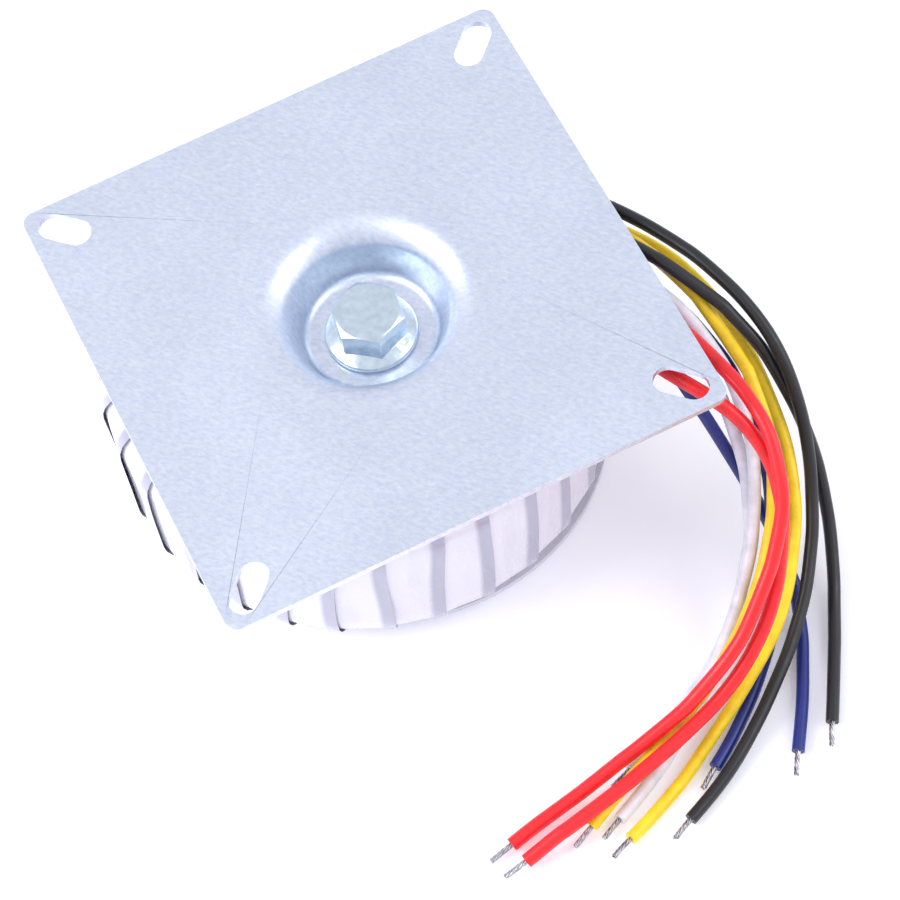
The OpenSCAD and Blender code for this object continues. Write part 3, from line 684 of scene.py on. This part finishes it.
class TRANSFORMER_OT_film(bpy.types.Operator):
    """Film wound through the bore, each strip lapped over the next"""

    bl_idname = "transformer.film"
    bl_label = "Film wrap"

    def execute(self, context):
        looks = context.scene.transformer_looks
        across = 13
        rise = 0.34 * MM
        crease_depth, sunk = 0.05 * MM, 0.02 * MM
        middle_r = 0.5 * (WRAP_BORE_R + RIM_R)
        pitch = math.tau / looks.laps
        verts, faces, laps, clears = [], [], [], []
        count = len(WRAP_SECTION)
        picker = random.Random(11)
        for strip in range(looks.laps):
            start = len(verts)
            jitter = picker.uniform(-0.05, 0.05) * pitch
            wander = picker.uniform(0.03, 0.1) * pitch
            phase = picker.uniform(0, math.tau)
            for i, point in enumerate(WRAP_SECTION):
                t = i / count
                middle = pitch * (strip + t) + jitter * math.sin(math.tau * t)
                middle += wander * math.sin(2 * math.tau * t + phase) * math.sin(math.tau * t)
                for k in range(across):
                    s = k / (across - 1) - 0.5
                    angle = middle + s * looks.strip_width / point[0]
                    seed = Vector((strip * 3.1 + s * 2.0, t * 9, 0))
                    crease = crease_depth * noise.noise(seed)
                    # on the rim a strip is stretched flat between its edges
                    half = 0.5 * looks.strip_width / point[0]
                    taut = point[0] * (math.cos(half) / math.cos(2 * s * half) - 1)
                    if point[0] < middle_r:
                        taut = 0.0
                    lift = rise * (s - 0.5) + crease * (1 - abs(2 * s)) + taut - sunk
                    verts.append(on_ring(point, angle, lift))
                    free = 1 - pitch * point[0] / looks.strip_width
                    lapped = s > 0.5 - free - 1e-6 and point[0] > LAP_SHOWS_R
                    laps.append(1.0 if lapped else 0.0)
                    clears.append(film_clear(angle, point[1]))
            for i in range(count):
                a = start + i * across
                b = a + across
                if i == count - 1:  # one pass round brings a strip to the next one's start
                    b = (strip + 1) % looks.laps * count * across
                for k in range(across - 1):
                    faces.append((a + k, b + k, b + k + 1, a + k + 1))
        made, mesh = smooth_piece("film_wrap", verts, faces)
        for name, values in (("lap", laps), ("clear", clears)):
            mesh.attributes.new(name, "FLOAT", "POINT").data.foreach_set("value", values)
        put(made, "film_wrap", polyester_film(looks), ["outer_wrap"])
        return {"FINISHED"}


def eased(route, per_span):
    """Points along the lead's centreline, in metres: a uniform cubic B-spline that passes
    through the rings of the solid lead."""
    c = [Vector(p) * MM for p in route]
    c = [2 * c[0] - c[1]] + c + [2 * c[-1] - c[-2]]
    points = []
    for i in range(1, len(c) - 2):
        for j in range(per_span):
            t = j / per_span
            points.append(((1 - t) ** 3 * c[i - 1] + (3 * t ** 3 - 6 * t ** 2 + 4) * c[i]
                           + (-3 * t ** 3 + 3 * t ** 2 + 3 * t + 1) * c[i + 1]
                           + t ** 3 * c[i + 2]) / 6)
    points.append(Vector(route[-1]) * MM)
    return points


def cord_curve(name, lines, diameter, resolution):
    """A curve object of round cords along lines of points."""
    data = bpy.data.curves.new(name, "CURVE")
    data.dimensions = "3D"
    data.bevel_depth = diameter / 2
    data.bevel_resolution = resolution
    data.use_fill_caps = True
    for line in lines:
        spline = data.splines.new("POLY")
        spline.points.add(len(line) - 1)
        for at, point in zip(spline.points, line):
            at.co = (*point, 1)
        spline.use_smooth = True
    return bpy.data.objects.new(name, data)


def twisted_strands(end, along, picker):
    """Strands laid round a middle one, from just inside the cut end to a loose tip."""
    side = along.cross(Vector((0, 0, 1))).normalized()
    up = side.cross(along)
    steps = 14
    lay_r, inside, turns = 0.29 * MM, 0.5 * MM, 0.9
    droop = picker.uniform(-0.25, 0.25) * MM
    reach = [picker.uniform(0.9, 1.0) for _ in range(STRANDS)]
    lines = []
    for strand in range(STRANDS):
        line = []
        for i in range(steps + 1):
            t = i / steps
            r = (0.0 if strand == 0 else lay_r) * (1 + 0.12 * math.sin(9 * t + strand))
            a = math.tau * (strand / (STRANDS - 1) + turns * t)
            bend = droop * t * t
            line.append(end + along * (STRIP_LENGTH * t * reach[strand] - inside * (1 - t))
                        + side * (r * math.cos(a) + bend) + up * r * math.sin(a))
        lines.append(line)
    return lines


class TRANSFORMER_OT_leads(bpy.types.Operator):
    """Ten loose leads and their bared strands, in the shape in which they fell"""

    bl_idname = "transformer.leads"
    bl_label = "Leads"

    def execute(self, context):
        looks = context.scene.transformer_looks
        finishes = {name: pvc(name, getattr(looks, name))
                    for name in ("black", "yellow", "white", "red", "blue")}
        tin = tinned_copper()
        picker = random.Random(3)
        for name, route in ROUTES.items():
            colour = name.split("_")[0]
            diameter = RED_D if colour == "red" else LEAD_D
            line = eased(route, 5)
            lead = put(cord_curve("insulation_" + name, [line], diameter, 4),
                       "insulation_" + name, finishes[colour],
                       ["lead_" + name])
            along = (line[-1] - line[-2]).normalized()
            tips = twisted_strands(line[-1], along, picker)
            bare = put(cord_curve("twist_" + name, tips, STRAND_D, 1), "twist_" + name, tin,
                       ["strands_" + name])
        return {"FINISHED"}


def area_light(name, at, aim, size, power):
    """A rectangular soft light that faces a point."""
    light = bpy.data.lights.new(name, "AREA")
    light.shape = "RECTANGLE"
    light.size, light.size_y = size
    light.energy = power
    holder = bpy.data.objects.new(name, light)
    holder.location = at
    holder.rotation_euler = (Vector(aim) - Vector(at)).to_track_quat("-Z", "Y").to_euler()
    bpy.context.scene.collection.objects.link(holder)


class TRANSFORMER_OT_stage(bpy.types.Operator):
    """Pale floor, soft studio light and the camera"""

    bl_idname = "transformer.stage"
    bl_label = "Stage"

    def execute(self, context):
        stage = context.scene.transformer_stage
        floor_mesh = bpy.data.meshes.new("floor")
        far = 6.0
        floor_mesh.from_pydata([(-far, -far, 0), (far, -far, 0), (far, far, 0), (-far, far, 0)],
                               [], [(0, 1, 2, 3)])
        floor = bpy.data.objects.new("floor", floor_mesh)
        context.scene.collection.objects.link(floor)
        card, _, _ = material("white_card", Base_Color=linear(stage.floor), Roughness=0.9,
                              Emission_Color=linear("#F4F2FF"), Emission_Strength=0.16)
        floor_mesh.materials.append(card)
        world = bpy.data.worlds.new("studio")
        context.scene.world = world
        world.use_nodes = True
        back = world.node_tree.nodes["Background"]
        back.inputs["Color"].default_value = linear("#F4F6FF")
        back.inputs["Strength"].default_value = stage.sky
        middle = (0.02, 0.0, 0.02)
        area_light("window_left", (-0.75, -0.45, 0.8), middle, (0.7, 0.7), 9.0)
        area_light("window_right", (0.8, 0.25, 0.7), middle, (0.5, 0.9), 4.0)
        data = bpy.data.cameras.new("camera")
        data.sensor_width = 36
        data.lens = stage.lens
        data.clip_start = 0.01
        camera = bpy.data.objects.new("camera", data)
        camera.location = stage.camera_at
        camera.rotation_euler = Euler(stage.camera_turn)
        context.scene.collection.objects.link(camera)
        context.scene.camera = camera
        context.scene.view_settings.view_transform = "Standard"
        return {"FINISHED"}


class TRANSFORMER_PT_panel(bpy.types.Panel):
    """Lists the pieces in the order in which they are made"""

    bl_idname = "TRANSFORMER_PT_panel"
    bl_label = "Toroidal transformer"
    bl_space_type = "VIEW_3D"
    bl_region_type = "UI"
    bl_category = "Transformer"

    def draw(self, context):
        for group in (context.scene.transformer_looks, context.scene.transformer_stage):
            for name in group.__annotations__:
                self.layout.prop(group, name)
        for operator in OPERATORS:
            self.layout.operator(operator.bl_idname)


OPERATORS = (TRANSFORMER_OT_stage, TRANSFORMER_OT_leads, TRANSFORMER_OT_metalwork,
             TRANSFORMER_OT_pads, TRANSFORMER_OT_inside, TRANSFORMER_OT_winding,
             TRANSFORMER_OT_film)
CLASSES = (TransformerLooks, StageSettings, *OPERATORS, TRANSFORMER_PT_panel)


def register():
    for cls in CLASSES:
        bpy.utils.register_class(cls)
    bpy.types.Scene.transformer_looks = bpy.props.PointerProperty(type=TransformerLooks)
    bpy.types.Scene.transformer_stage = bpy.props.PointerProperty(type=StageSettings)


def unregister():
    del bpy.types.Scene.transformer_stage
    del bpy.types.Scene.transformer_looks
    for cls in reversed(CLASSES):
        bpy.utils.unregister_class(cls)


def main():
    register()
    bpy.ops.transformer.stage()
    bpy.ops.transformer.leads()
    bpy.ops.transformer.metalwork()
    bpy.ops.transformer.pads()
    bpy.ops.transformer.inside()
    bpy.ops.transformer.winding()
    bpy.ops.transformer.film()


if __name__ == "__main__":
    main()
